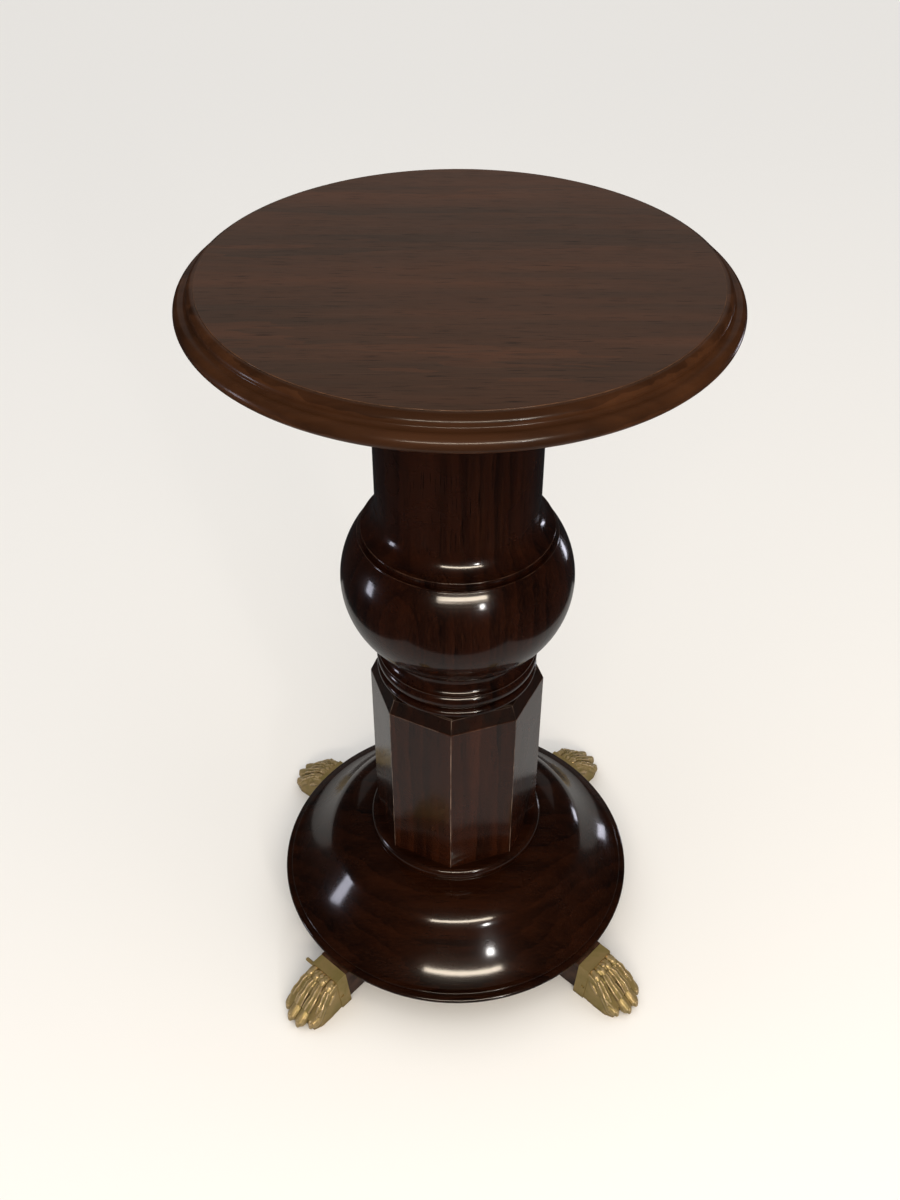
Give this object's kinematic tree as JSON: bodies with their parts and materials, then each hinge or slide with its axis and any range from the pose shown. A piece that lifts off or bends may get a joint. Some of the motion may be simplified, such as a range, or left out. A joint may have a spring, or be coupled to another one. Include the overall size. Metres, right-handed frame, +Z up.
{
  "type": "round pedestal table",
  "caption": "Round side table: moulded top on a turned and octagonal pedestal over a domed round base with brass lion-paw feet.",
  "frame": {"origin": "on the floor, on the axis of the column", "axes": "+Z up along the column; the side the table is seen from faces -Y, so two feet are at the front and two at the rear"},
  "size_m": [0.4299, 0.43, 0.741],
  "materials": {
    "top_wood": "satin polish over brown mahogany",
    "column_wood": "dark high-gloss polish over mahogany",
    "hidden_wood": "unpolished stained wood",
    "paw_brass": "dull cast and tooled brass",
    "screw_steel": "dull aged steel"
  },
  "bodies": {
    "root": {"table_top": "top_wood", "top_bearer": "hidden_wood", "bearer_screws": "screw_steel", "upper_shaft": "column_wood", "shaft_wedge": "hidden_wood", "bulb": "column_wood", "neck_collar": "column_wood", "octagonal_block": "column_wood", "base_wedge": "hidden_wood", "base_dome": "column_wood", "base_board": "column_wood", "board_screws": "screw_steel", "foot_screws": "screw_steel", "cap_pins": "paw_brass", "foot_block_front_left": "column_wood", "foot_block_front_right": "column_wood", "foot_block_rear_left": "column_wood", "foot_block_rear_right": "column_wood", "paw_cap_front_left": "paw_brass", "paw_cap_front_right": "paw_brass", "paw_cap_rear_left": "paw_brass", "paw_cap_rear_right": "paw_brass"}
  },
  "joints": []
}
